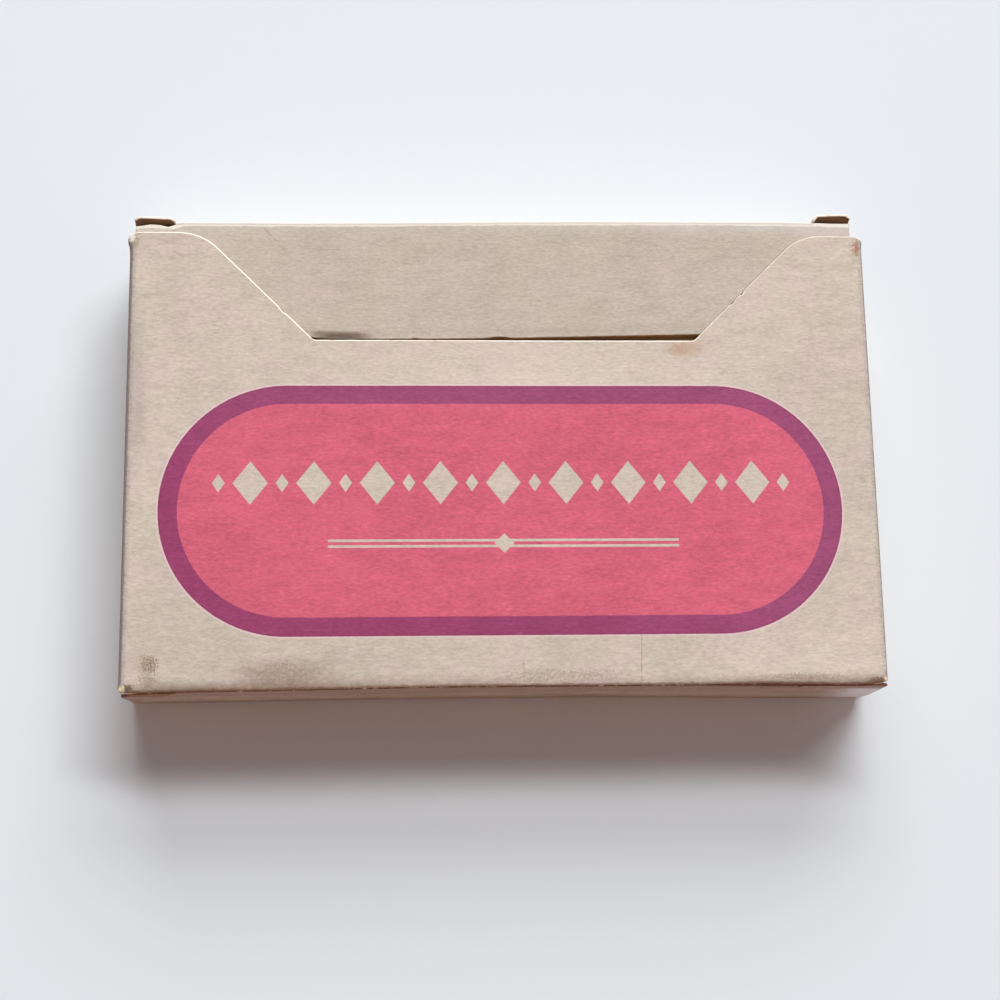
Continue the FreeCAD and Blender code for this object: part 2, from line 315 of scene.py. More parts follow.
def new_material(name, inputs):
    """Material and its surface node, with these inputs."""
    material = bpy.data.materials.new(name)
    material.use_nodes = True
    surface = material.node_tree.nodes["Principled BSDF"]
    for socket, value in inputs.items():
        put(surface.inputs[socket], value)
    return material, surface


def operators(operation):
    """An operator's two methods, for a Value on its left and on its right."""
    return (lambda value, other: value.shader.math(operation, value, other),
            lambda value, other: value.shader.math(operation, other, value))


class Value:
    """Number that a node gives. Its sums with other values and numbers are Math nodes."""

    def __init__(self, shader, socket):
        self.shader, self.socket = shader, socket

    __add__, __radd__ = operators("ADD")
    __sub__, __rsub__ = operators("SUBTRACT")
    __mul__, __rmul__ = operators("MULTIPLY")
    __truediv__, __rtruediv__ = operators("DIVIDE")

    def __abs__(self):
        return self.shader.math("ABSOLUTE", self)


def around(value, amount):
    """A noise's departure from its middle, times an amount."""
    return value.shader.math("MULTIPLY_ADD", value, amount, -0.5 * amount)


def ramp(value, start, end, low=0, high=1, kind="SMOOTHSTEP"):
    """From low at start to high at end, and level beyond them."""
    inputs = {"Value": value, "From Min": start, "From Max": end, "To Min": low, "To Max": high}
    node = add_node(value.shader.tree, "MapRange", inputs, interpolation_type=kind)
    return Value(value.shader, node.outputs["Result"])


def mix(amount, first, second):
    """First colour at amount 0, and second at 1."""
    inputs = {"Factor": amount, "A": first, "B": second}
    return add_node(amount.shader.tree, "Mix", inputs, data_type="RGBA").outputs["Result"]


class Shader:
    """Node tree of one material, with positions in millimetres on the piece."""

    def __init__(self, name, roughness):
        inputs = {"Roughness": roughness, "Specular IOR Level": 0.25}
        self.material, self.surface = new_material(name, inputs)
        self.tree = self.material.node_tree
        coordinates = add_node(self.tree, "TexCoord")
        self.place = self.scale(coordinates.outputs["Object"], 1 / MM)
        parts = add_node(self.tree, "SeparateXYZ", {0: self.place})
        self.x, self.y, self.z = [Value(self, socket) for socket in parts.outputs]

    def math(self, operation, *values):
        node = add_node(self.tree, "Math", dict(enumerate(values)), operation=operation)
        return Value(self, node.outputs[0])

    def vector(self, operation, inputs):
        return add_node(self.tree, "VectorMath", inputs, operation=operation).outputs[0]

    def scale(self, vector, factor):
        return self.vector("SCALE", {0: vector, "Scale": factor})

    def along(self, value, pairs):
        """Height at value of the line through (place, height) pairs."""
        return sum((ramp(value, a[0], b[0], 0, b[1] - a[1], "LINEAR")
                    for a, b in zip(pairs, pairs[1:])), pairs[0][1])

    def noise(self, size, seed, detail=4, roughness=0.6, squash=(1, 1, 1)):
        """Uneven value around 0.5. size is the width of its patches in millimetres."""
        stretched = self.vector("MULTIPLY", {0: self.place, 1: [1 / (size * s) for s in squash]})
        moved = self.vector("ADD", {0: stretched, 1: (seed * 7.3, seed * 3.1, seed * 5.7)})
        inputs = {"Vector": moved, "Scale": 1, "Detail": detail, "Roughness": roughness}
        return Value(self, add_node(self.tree, "TexNoise", inputs).outputs["Fac"])

    def distance(self, centre, size):
        """Distance from a place on the front, in units of size along X and Y."""
        right, up = [(value - middle) / unit
                     for value, middle, unit in zip((self.x, self.y), centre, size)]
        return self.math("SQRT", right * right + up * up)

    def patch(self, centre, size, seed, ragged=0.9, grain=1.2):
        """Mask of a soft spot with an uneven outline."""
        uneven = around(self.noise(grain, seed, 5, 0.65), ragged)
        return ramp(self.distance(centre, size) + uneven, 1, 0.3)

    def specks(self, area, grain, seed, cover=0.32):
        """Mask of ragged specks, which crowd together where area is 1 and stop where it is 0."""
        uneven = self.noise(grain, seed, 5, 0.7)
        crowded = ramp(self.math("MULTIPLY_ADD", area, cover, uneven), 0.72, 0.84)
        return crowded * ramp(area, 0, 0.25)

    def line(self, start, end, width, seed, wobble=0.5):
        """Mask of a fine wavering line between two places on the front."""
        run, rise = end[0] - start[0], end[1] - start[1]
        length = hypot(run, rise)
        run, rise = run / length, rise / length
        right, up = self.x - start[0], self.y - start[1]
        forward = right * run + up * rise
        sideways = up * run - right * rise
        wavering = sideways + around(self.noise(2, seed), wobble)
        within = ramp(forward, 0, 0.6) * ramp(forward, length, length - 0.6)
        thin = ramp(abs(wavering), width, width * 0.3)
        return within * thin * ramp(self.noise(0.8, seed + 1, 3), 0.3, 0.5)

    def finish(self, colour, relief, height, strength=0.6):
        """The material, with its relief's height in millimetres."""
        inputs = {"Height": relief, "Distance": height * MM, "Strength": strength}
        put(self.surface.inputs["Normal"], add_node(self.tree, "Bump", inputs).outputs["Normal"])
        put(self.surface.inputs["Base Color"], colour)
        return self.material


PAPER = linear(211, 197, 181)
PAPER_PINK = linear(213, 196, 183)
PAPER_GREEN = linear(210, 197, 180)
GRIME = linear(132, 106, 88)
# grey along the folds: partly grime, partly painted shade of the rounded bends
FOLD_GRIME_AND_SHADE = linear(148, 138, 136)
FOLD_GRIME_AND_SHADE_DARK = linear(110, 98, 100)
RUST = linear(170, 112, 84)
GRIME_DARK = linear(94, 70, 56)
BROWN = linear(126, 88, 66)
WORN = linear(246, 238, 222)
# white of the lid's fold: rubbed fibre and a painted highlight
FOLD_WHITE_AND_HIGHLIGHT = linear(224, 215, 205)
WORN_YELLOW = linear(240, 227, 188)
WORN_LILAC = linear(226, 218, 214)
PINK = linear(217, 101, 123)
PURPLE = linear(160, 76, 116)
PURPLE_DEEP = linear(158, 66, 108)
PURPLE_DARK = linear(124, 58, 86)
PINK_PALE = linear(240, 204, 207)
RAW_BOARD = linear(200, 178, 148)
RAW_BOARD_DARK = linear(182, 156, 126)
CUT_EDGE = linear(249, 236, 220)
CUT_EDGE_DARK = linear(206, 184, 158)

LABEL_CENTRE = (-0.4, -11)
LABEL_HALF_LENGTH = 36.9        # of its straight middle
LABEL_RADIUS = 21.85
LABEL_BORDER = 3.25
LOZENGE_Y = -6.4
LOZENGE_PITCH = 10.8
LOZENGE_SIZE = (6, 7.6)
SMALL_LOZENGE_SIZE = (2.2, 3.2)
RULES_Y = (-16.5, -17.5)
RULE_HALF_LENGTH = 30
RULE_WIDTH = 0.45


# ---- what use has done to the carton, along X ----
# (x, distance) pairs in millimetres
LID_LEAN = [(-64, 0.1), (-57.5, 0.1), (-56, 0.6), (-35, 0.6), (-15, 0.85), (0, 1.1), (20, 1.3),
            (50, 1.4), (55, 1.3), (64, 1.2)]
LID_SLIDE = [(-64, -0.85), (-55, -0.85), (-46, 0), (46, 0), (55, -0.3), (64, -0.5)]
FRONT_LOW = [(-64.5, -42.25), (-60.5, -42.2), (-58.5, -42.1), (-40, -41.95), (-23, -41.7),
             (-6, -41.55), (33, -41.6), (43, -41.5), (58, -41.8), (64.5, -41.6)]
FREE_EDGE = [(-34, 0.75), (-29, 0.55), (-22, 0.38), (-16.2, 0.42), (-15.4, 0.62), (-14.4, 0.42),
             (-8, 0.52), (-3, 0.6), (-1.5, 0.88), (0.5, 0.85), (1.5, 0.66), (20, 1.1), (34, 1.42)]
SLIT_LIP = [(-64, 0), (-62.8, 0.15), (-61.6, 0.38), (-60, 0.28), (-58.6, -0.05), (-57, 0),
            (57, 0.3), (60, 0.25), (64, 0.3)]
BOTTOM_SLIDE = [(-64, -1), (-52, 0), (52, 0), (64, 1.2)]
BOTTOM_BOW = [(-64, 0.1), (-45, 0.15), (-23, 0.42), (18, 0.45), (33, 0.25), (45, 0), (64, -0.05)]

# ---- marks on the print ----
# (x, strength) pairs
FRONT_BROWN = [(-62, 0.35), (-50, 0.6), (-25, 0.5), (0, 0.25), (25, 0.2), (50, 0.35)]
TUCK_PALE = [(-50, 0.25), (-20, 0.1), (10, 0.25), (35, 0.45)]
# centre, reach and strength of broad paler and darker areas
FRONT_TONES = [((8, 11.5), (50, 12), 0.09), ((60, 2), (16, 44), -0.05), ((50, -38), (26, 9), 0.1),
               ((-58, 26), (16, 26), -0.02), ((-56, -34), (20, 12), -0.08),
               ((-30, -39), (26, 8), -0.08)]
# centre, reach, amount, colour, seed and grain of patches of specks
FRONT_SPECKS = [
    ((-60, -37.3), (3.6, 3.9), 0.75, GRIME_DARK, 21, 0.3),
    ((-60.3, -40), (4, 3), 0.45, GRIME, 23, 0.34),
    ((-38, -39.2), (13, 4.6), 0.3, GRIME, 24, 0.5),
    ((31, 17.6), (4.6, 2.2), 0.4, linear(190, 150, 125), 25, 0.4),
    ((63.4, 36.6), (1.8, 3.4), 0.6, RUST, 26, 0.34),
    ((8, -39.6), (24, 2.6), 0.3, GRIME, 27, 0.45),
    ((50, -40.2), (16, 1.4), 0.4, BROWN, 28, 0.34),
    ((-45, -41.3), (16, 1), 0.4, WORN_YELLOW, 29, 0.4),
]
# centre, reach, amount, colour and seed of soft stains
FRONT_STAINS = [
    ((32, 17.7), (4.6, 2), 0.45, linear(190, 150, 120), 31),
    ((63.8, 36.7), (0.6, 2.1), 0.6, RUST, 32),
    ((-38, -39.2), (12, 3.4), 0.35, GRIME, 33),
    ((-60.4, -37.2), (3, 2.9), 0.25, linear(190, 172, 130), 34),
    # grey along the left fold: partly grime, partly painted shade of its bend
    ((-63.2, 10), (2.4, 18), 0.25, FOLD_GRIME_AND_SHADE, 35),
]
# ends, amount, colour and seed of hairline cracks
FRONT_LINES = [
    ((22.7, -31.5), (22.4, -41.4), 0.4, GRIME_DARK, 41),
    ((2.6, -36.8), (2.4, -40.2), 0.35, GRIME_DARK, 42),
    ((33.4, -39.3), (34.6, -41), 0.5, WORN_YELLOW, 43),
    ((-57.5, 35.6), (-55.2, 33.8), 0.25, GRIME, 44),
]
TUCK_LINES = [
    ((-42, 40), (-39.2, 37.3), 0.4, GRIME_DARK, 45),
    ((-39.4, 36.9), (-37, 34.6), 0.25, GRIME, 46),
    ((-35, 36.2), (-27.5, 36), 0.25, GRIME, 47),
]
# centre, reach, amount, colour and seed of rubbed corners
FRONT_CORNERS = [
    ((-64, 37), (0.8, 1.5), 0.5, linear(150, 138, 104), 58),
    ((-64.7, 37.8), (0.8, 1), 0.9, WORN, 51),
    ((-64, 38.8), (1.6, 0.6), 0.8, linear(168, 160, 124), 52),
    ((64.9, 38.6), (0.9, 0.9), 0.9, WORN, 53),
    ((-63.6, -41.2), (1.5, 0.9), 0.75, GRIME_DARK, 55),
    ((-64.4, -41.4), (0.8, 0.8), 0.9, WORN_YELLOW, 54),
    ((63.2, -41), (2.2, 0.9), 0.75, BROWN, 57),
    ((64.3, -40.8), (0.6, 0.7), 0.9, WORN_YELLOW, 56),
]


def aged_paper(shader, tone, tones=()):
    """Printed beige face and its relief: fibres, blotches, clouds of ageing and flecks.

    tones are the centre, size and strength of broad paler or darker areas.
    """
    fibres = shader.noise(0.42, 1, 4, 0.7, squash=(2.4, 1, 1))
    blotches = shader.noise(1.7, 2, squash=(2.6, 1, 1))
    clouds = shader.noise(9, 3, 3, 0.55)
    hue = ramp(shader.noise(12, 4), 0.4, 0.6)
    shade = (tone + around(fibres, 0.72 * tone) + around(blotches, 0.3 * tone)
             + around(clouds, 0.2 * tone))
    for centre, size, strength in tones:
        area = ramp(shader.distance(centre, size), 1, 0)
        shade = shader.math("MULTIPLY_ADD", area, strength, shade)
    colour = shader.scale(mix(hue, PAPER_PINK, PAPER_GREEN), shade)
    strokes = ramp(shader.noise(0.36, 5, 4, 0.65, squash=(6, 1, 1)), 0.56, 0.72)
    colour = mix(strokes * 0.2, colour, GRIME)
    flecks = ramp(shader.noise(0.7, 6, 3), 0.7, 0.78)
    return mix(flecks * 0.4, colour, GRIME), fibres


def label_distance(shader):
    """Distance outwards from the printed band's outline."""
    right = abs(shader.x - LABEL_CENTRE[0])
    over = shader.math("MAXIMUM", right - LABEL_HALF_LENGTH, 0)
    up = shader.y - LABEL_CENTRE[1]
    squares = over * over + up * up
    return shader.math("SQRT", squares) - LABEL_RADIUS


def within_label(shader, mask, half_length):
    """The mask, kept to a half length on both sides of the label's middle."""
    offset = abs(shader.x - LABEL_CENTRE[0])
    return mask * shader.math("LESS_THAN", offset, half_length)


def lozenge_row(shader, centre_y, half_length, pitch, size, phase):
    """Mask of a row of lozenges along X. size is one's width and height."""
    from_middle = (shader.x - LABEL_CENTRE[0]) / pitch
    across = shader.math("FRACT", from_middle + phase) - 0.5
    reach = abs(across) / (size[0] / pitch / 2)
    rise = abs(shader.y - centre_y) / (size[1] / 2)
    return within_label(shader, ramp(reach + rise, 1.04, 0.96), half_length)


def rule(shader, centre_y):
    """Mask of a thin printed line along X."""
    rise = abs(shader.y - centre_y)
    mask = ramp(rise, RULE_WIDTH / 2 + 0.06, RULE_WIDTH / 2 - 0.06)
    return within_label(shader, mask, RULE_HALF_LENGTH)


def label_ornament(shader):
    """Traditional row of lozenges over a pair of rules, left unprinted in the pink."""
    pitch, between = LOZENGE_PITCH, sum(RULES_Y) / 2
    shapes = [lozenge_row(shader, LOZENGE_Y, 4.4 * pitch, pitch, LOZENGE_SIZE, 0.5),
              lozenge_row(shader, LOZENGE_Y, 4.7 * pitch, pitch, SMALL_LOZENGE_SIZE, 0),
              *[rule(shader, y) for y in RULES_Y],
              lozenge_row(shader, between, 4, 12, (3.4, 3.4), 0.5)]
    mask = shapes[0]
    for shape in shapes[1:]:
        mask = shader.math("MAXIMUM", mask, shape)
    return mask


def printed_band(shader, paper, fibres):
    """Pink band with a purple border over the paper, its ink a little thin and scuffed."""
    distance = label_distance(shader) + around(shader.noise(0.5, 7, 3), 0.12)
    outer = ramp(distance, 0.06, -0.06)
    inner = ramp(distance, -LABEL_BORDER + 0.07, -LABEL_BORDER - 0.07)
    clouds = around(shader.noise(24, 9, 4, 0.55), 0.22)
    blotches = around(shader.noise(2.2, 8, squash=(2.2, 1, 1)), 0.42)
    shade = 1 + clouds + blotches + around(fibres, 0.85)
    low_left = ramp(shader.x + shader.y * 2, 0, -80)
    border = mix(low_left, PURPLE, PURPLE_DEEP)
    ink = shader.scale(mix(inner, border, PINK), shade)
    strokes = ramp(shader.noise(0.4, 10, 4, 0.65, squash=(5, 1, 1)), 0.58, 0.7)
    ink = mix(strokes * 0.22, ink, linear(150, 58, 76))
    thin = ramp(fibres + around(shader.noise(5, 11), 0.5), 0.62, 0.9)
    scuffs = ramp(shader.noise(0.5, 12, 4, 0.7, squash=(3, 1, 1)), 0.72, 0.82)
    ink = mix(shader.math("MULTIPLY_ADD", thin, 0.16, scuffs * 0.3), ink, paper)
    rim = ramp(abs(distance + 0.14), 0.16, 0.04)
    ink = mix(rim * 0.35, ink, PURPLE_DARK)
    bled = ramp(distance, 0.42, 0.2) * (1 - outer)
    paper = mix(bled * 0.65, paper, PINK_PALE)
    bare = 1 - label_ornament(shader)
    return mix(outer * bare, paper, ink)


def edge_distance(shader):
    """Distance from a place on the closed carton's outside to the nearest of its edges."""
    from_side = HALF_WIDTH - abs(shader.x)
    from_end = shader.math("MINIMUM", LID_Y - shader.y, shader.y - BOTTOM_Y)
    from_face = shader.math("MINIMUM", shader.z, DEPTH - shader.z)
    low = shader.math("MINIMUM", from_side, from_end)
    high = shader.math("MAXIMUM", from_side, from_end)
    return shader.math("MAXIMUM", low, shader.math("MINIMUM", high, from_face))


def plain_wear_and_fold_shade(shader, colour):
    """Handling along the carton's edges: grey grime, a grey line along the folds that is partly painted
    shade of their bends, and bare paper where they are rubbed.
    """
    distance = edge_distance(shader)
    uneven = shader.noise(1.6, 13, 5, 0.7)
    grime = ramp(distance + around(shader.noise(5, 14), 6), 5, 0.5)
    colour = mix(grime * 0.22, colour, GRIME)
    specks = shader.specks(ramp(distance, 2.6, 0.4), 0.5, 15, 0.24)
    colour = mix(specks * 0.5, colour, FOLD_GRIME_AND_SHADE_DARK)
    # grey line along the folds: grime and painted shade of the bends
    line = ramp(distance + around(uneven, 1.6), 1, 0.4)
    colour = mix(line * 0.6, colour, FOLD_GRIME_AND_SHADE)
    rubbed = ramp(distance + around(shader.noise(2.6, 16, 5, 0.7), 1.6), 0.6, 0.1)
    return mix(rubbed * 0.5, colour, WORN)


def front_wear_and_fold_shade(shader, colour):
    """Lilac-grey side folds, partly grime and partly painted shade of their bends, brown lower edge,
    rubbed corners, stains and hairline cracks.
    """
    from_side = HALF_WIDTH - abs(shader.x)
    from_bottom = shader.y - shader.along(shader.x, FRONT_LOW)
    uneven = shader.noise(1.5, 13, 5, 0.7)

    for centre, size, amount, tint, seed, grain in FRONT_SPECKS:
        area = ramp(shader.distance(centre, size), 1, 0.1)
        colour = mix(shader.specks(area, grain, seed) * amount, colour, tint)
    for centre, size, amount, tint, seed in FRONT_STAINS:
        colour = mix(shader.patch(centre, size, seed) * amount, colour, tint)

    brown = ramp(from_bottom + around(uneven, 2.2), 2.8, 0)
    colour = mix(brown * shader.along(shader.x, FRONT_BROWN), colour, BROWN)
    rim = ramp(from_bottom + around(uneven, 0.7), 0.75, 0.3)
    colour = mix(rim * 0.8, colour, BROWN)
    # lilac-grey at the side folds: grime and painted shade where the board turns away
    specks = shader.specks(ramp(from_side, 2, 0.2), 0.35, 14, 0.24)
    colour = mix(specks * 0.45, colour, FOLD_GRIME_AND_SHADE_DARK)
    tint = ramp(from_side + around(uneven, 0.9), 1.3, 0.5)
    colour = mix(tint * 0.25, colour, FOLD_GRIME_AND_SHADE)
    line = ramp(from_side + around(uneven, 0.4), 0.42, 0.16)
    colour = mix(line * 0.6, colour, FOLD_GRIME_AND_SHADE_DARK)

    for start, end, amount, tint, seed in FRONT_LINES:
        colour = mix(shader.line(start, end, 0.13, seed) * amount, colour, tint)
    for centre, size, amount, tint, seed in FRONT_CORNERS:
        colour = mix(shader.patch(centre, size, seed, 2, 0.45) * amount, colour, tint)
    return colour


def tuck_wear_and_painted_light(shader, colour):
    """Bare white fold with a painted highlight, scuffed board beside it, painted brown shade at the dent,
    and the turned-in free edge painted brown in place of the shaded gap.
    """
    from_fold = LID_AXIS_Y - (shader.y - shader.along(shader.x, LID_LEAN))
    uneven = shader.noise(1.8, 13, 5, 0.7, squash=(2, 1, 1))
    pale = ramp(from_fold + around(uneven, 3), 3.2, 0.2)
    colour = mix(pale * shader.along(shader.x, TUCK_PALE), colour, WORN_LILAC)
    # bare white fibre at the fold, with a painted highlight where the fold catches the light
    bare = ramp(from_fold + around(uneven, 0.8), 0.75, 0.5)
    colour = mix(bare * 0.9, colour, WORN)
    # painted shade: brown where the dent tilts away from the light
    painted_dent_shade = shader.patch((-28.2, 19.9), (6.6, 1.2), 21, 0.5)
    colour = mix(painted_dent_shade * 0.45, colour, linear(124, 84, 66))
    # painted shade: the turned-in free edge is painted brown in place of the shaded gap below the notch
    from_turn = shader.y - (NOTCH_Y + shader.along(shader.x, FREE_EDGE))
    turned_in_shade_sheet = ramp(from_turn, 0.1, -0.04)
    colour = mix(turned_in_shade_sheet * 0.95, colour, linear(182, 136, 90))
    for start, end, amount, tint, seed in TUCK_LINES:
        colour = mix(shader.line(start, end, 0.12, seed) * amount, colour, tint)
    return colour


def bottom_wear_and_highlight(shader, colour):
    """Bottom panel: grime, browner towards the front panel, and a painted highlight at its right end."""
    grime = ramp(shader.noise(3, 13, 5, 0.65, squash=(5, 1, 1)), 0.45, 0.7)
    colour = mix(grime * 0.3, colour, GRIME)
    colour = plain_wear_and_fold_shade(shader, colour)
    uneven = around(shader.noise(1.6, 14, squash=(4, 1, 1)), 8)
    brown_towards_front = ramp(shader.z + uneven, 6, 11)
    colour = mix(brown_towards_front * 0.42, colour, linear(158, 96, 82))
    # painted highlight: near-white at the right end, where the panel's end catches the light
    pale = ramp(shader.x + around(shader.noise(2.5, 15), 6), 54.5, 62)
    highlight_height = ramp(shader.z + uneven, 15, 11)
    return mix(pale * highlight_height * 0.9, colour, linear(246, 243, 248))


def printed_material(name, tone=1, wear=plain_wear_and_fold_shade, tones=(), label=False):
    shader = Shader(name, 0.8)
    colour, fibres = aged_paper(shader, tone, tones)
    if label:
        colour = printed_band(shader, colour, fibres)
    colour = wear(shader, colour)
    return shader.finish(colour, fibres, 0.07, 0.5)


def raw_material():
    shader = Shader("raw_board", 0.9)
    fibres = shader.noise(0.4, 1, 4, 0.7, squash=(2.4, 1, 1))
    clouds = ramp(shader.noise(8, 3), 0.34, 0.66)
    colour = mix(clouds, RAW_BOARD_DARK, RAW_BOARD)
    red = ramp(shader.noise(3.2, 4, 3), 0.5, 0.7)
    colour = mix(red * 0.2, colour, linear(160, 116, 98))
    flecks = ramp(shader.noise(0.5, 5, 3), 0.6, 0.75)
    colour = mix(flecks * 0.3, colour, linear(100, 78, 60))
    # painted shade: the inside of the ears, darker brown where they stand in shadow
    painted_ear_shade = ramp(shader.y, 39.8, 40.2) * ramp(shader.z, 13, 15)
    colour = mix(painted_ear_shade * 0.85, colour, linear(138, 100, 76))
    return shader.finish(shader.scale(colour, 1 + around(fibres, 0.4)), fibres, 0.1)


def edge_material(name, wear=None):
    """Raw cut edge, with its layers of fibre."""
    shader = Shader(name, 0.92)
    layers = shader.noise(0.25, 2, 4, 0.7, squash=(14, 14, 1))
    patches = ramp(shader.noise(2, 4, 4, 0.65), 0.55, 0.72)
    colour = mix(patches, CUT_EDGE, CUT_EDGE_DARK)
    if wear:
        colour = wear(shader, colour)
    return shader.finish(shader.scale(colour, 0.97 + around(layers, 0.22)), layers, 0.05)


def front_edge_wear_and_shade(shader, colour):
    """Brown lower edge, and painted shade along the right side of the notch, where its cut edge faces
    away from the light.
    """
    uneven = shader.noise(1.1, 5, 5, 0.7)
    # painted shade: paper colour over the bright fibre of the notch's right side
    right = ramp(shader.x, 31, 36) * ramp(uneven, 0.7, 0.5)
    colour = mix(right * 0.85, colour, PAPER)
    nicks = ramp(shader.noise(0.9, 6, 4, 0.7), 0.68, 0.74)
    colour = mix(nicks * 0.7, colour, GRIME)
    low = ramp(shader.y, -38, -40)
    middle = 1 - ramp(abs(shader.x), 61.5, 63.5)
    brown = low * middle * ramp(uneven, 0.66, 0.52, 0.35, 0.95)
    return mix(brown, colour, BROWN)


def tuck_edge_marks(shader, colour):
    """Edge of the tuck flap, brown along its free edge, and grimy in rough spots at its ends."""
    free = ramp(shader.y, 22, 21)
    colour = mix(free * 0.85, colour, BROWN)
    ends = ramp(abs(shader.x), 61, 62.4)
    rough = ramp(shader.noise(0.6, 6, 4, 0.7), 0.6, 0.5)
    return mix(ends * rough * 0.75, colour, GRIME)


def bottom_edge_wear(shader, colour):
    """Edge of the bottom panel, brown all along."""
    return mix(shader.noise(0.8, 6, 4, 0.7), BROWN, linear(164, 122, 100))


def fold_wear_and_highlight_material():
    """Outside of the lid's front fold, rubbed down to white fibre and given a painted highlight where it
    catches the light.
    """
    shader = Shader("rubbed_and_highlit_fold", 0.9)
    fibres = shader.noise(0.4, 1, 4, 0.7, squash=(3, 1, 1))
    kept = ramp(shader.noise(1.3, 2, 5, 0.7, squash=(3, 1, 1)), 0.58, 0.66)
    right = ramp(shader.x, 38, 52, 0.75, 1)
    colour = mix(kept * right * 0.7, FOLD_WHITE_AND_HIGHLIGHT, PAPER)
    return shader.finish(shader.scale(colour, 1 + around(fibres, 0.2)), fibres, 0.1, 0.7)


def card_material():
    """Stack of ruled index cards: one red line and pale blue ones on the top card."""
    shader = Shader("card_stock", 0.7)
    layer = shader.math("FRACT", (shader.z - BOARD) / CARD)
    seam = ramp(abs(layer - 0.5), 0.36, 0.5)
    colour = mix(shader.noise(0.3, 3, 2, 0.5, squash=(60, 60, 1)), linear(230, 222, 202),
                        linear(242, 236, 220))
    colour = mix(seam * 0.45, colour, linear(168, 150, 122))
    face = add_node(shader.tree, "NewGeometry")
    up = add_node(shader.tree, "SeparateXYZ", {0: face.outputs["True Normal"]})
    top = shader.math("GREATER_THAN", up.outputs["Z"], 0.5)
    below = CARD_HEAD_Y - shader.y
    turn = shader.math("FRACT", below / CARD_RULE_PITCH + 0.5)
    line = ramp(abs(turn - 0.5), 0.026, 0.016)
    head = ramp(abs(below), 0.2, 0.14)
    blue = top * line * shader.math("GREATER_THAN", below, 2)
    colour = mix(blue * 0.6, colour, linear(140, 172, 200))
    colour = mix(top * head * 0.65, colour, linear(204, 110, 112))
    fibres = shader.noise(0.5, 1, 4, 0.65)
    return shader.finish(shader.scale(colour, 1 + around(fibres, 0.12)), fibres, 0.03, 0.3)


def glue_material():
    shader = Shader("dried_glue", 0.45)
    colour = mix(shader.noise(1.5, 2), linear(172, 146, 104), linear(214, 194, 150))
    return shader.finish(colour, shader.noise(0.8, 4), 0.1)


PRINT = printed_material("printed_board")
FRONT_PRINT = printed_material("printed_front", wear=front_wear_and_fold_shade, tones=FRONT_TONES, label=True)
TUCK_PRINT = printed_material("printed_tuck", tone=0.88, wear=tuck_wear_and_painted_light)
BOTTOM_PRINT = printed_material("printed_bottom", tone=0.94, wear=bottom_wear_and_highlight)
RAW = raw_material()
EDGE = edge_material("cut_edge")
PLAIN_BOARD = (PRINT, RAW, EDGE)
FRONT_BOARD = (FRONT_PRINT, RAW, edge_material("front_cut_edge", front_edge_wear_and_shade))
TUCK_BOARD = (TUCK_PRINT, RAW, edge_material("tuck_cut_edge", tuck_edge_marks))
BOTTOM_BOARD = (BOTTOM_PRINT, RAW, edge_material("bottom_cut_edge", bottom_edge_wear))
FOLD_BOARD = (fold_wear_and_highlight_material(), RAW, EDGE)


# ---- how use has bent the carton ----
def side_lean(x, z):
    """How far the left side leans out along X, near the front."""
    return -SIDE_LEAN * ease((-x - 48) / 14) * ease((z - 9) / 7.5)


def front_bow(x, y):
    """How far the front panel stands off its plane: crowned, and rolled down at its lower edge."""
    inside = ease((HALF_WIDTH - abs(x)) / 22) * ease((y - FRONT_EDGE_Y) / 14)
    crown = 0.32 * inside + 0.1 * inside * ripple(x, y, 34, 1.7)
    crack = 0.07 * np.exp(-((x - 22.5) / 0.35) ** 2) * ease((-31 - y) / 4)
    roll = (0.12 + 0.3 * ease((abs(x) - 25) / 32)) * ease(1 - (y - along(x, FRONT_LOW)) / 1.1)
    return crown + crack - roll


def corner_wear(x, y):
    """How far the corners' folds are crushed out along X."""
    if x > 0:
        return 0.12 * np.exp(-((y - 37.9) / 0.8) ** 2)
    curl = 0.42 * np.exp(-((y - 37.5) / 0.95) ** 2) + 0.15 * ease((-40 - y) / 1.6)
    return -curl * (1 + 0.5 * ripple(x, y, 0.7, 3))


def ear_rise(x):
    """How far an ear beside a slit stands out of the lid at its tip."""
    rise = 1.3 if x < 0 else 1.5
    from_slit = abs(x) - SLIT_START
    return rise * ease((from_slit + 0.5) / 1.7) * (0.86 + 0.14 * ease(from_slit / 6))


def free_edge(x):
    """Where along Y the tuck flap's worn free edge turns in."""
    return NOTCH_Y + along(x, FREE_EDGE) + 0.06 * ripple(x, 0, 1.3, 8)


def flap_sink(x, y):
    """How far the tuck flap is bent in below its plane, near its free edge."""
    from_edge = y - free_edge(x)
    dent = 0.5 * np.exp(-((x + 28.6) / 4.6) ** 4) * ease(1 - from_edge / 1.3)
    # the turned-in strip fills the gap where there is only shade, and is painted brown as that shade
    turned_in_shade_sheet = 0.95 * np.clip(-from_edge / 0.45, 0, 1)
    return 0.12 * ease(1 - from_edge / 2.2) + dent + turned_in_shade_sheet


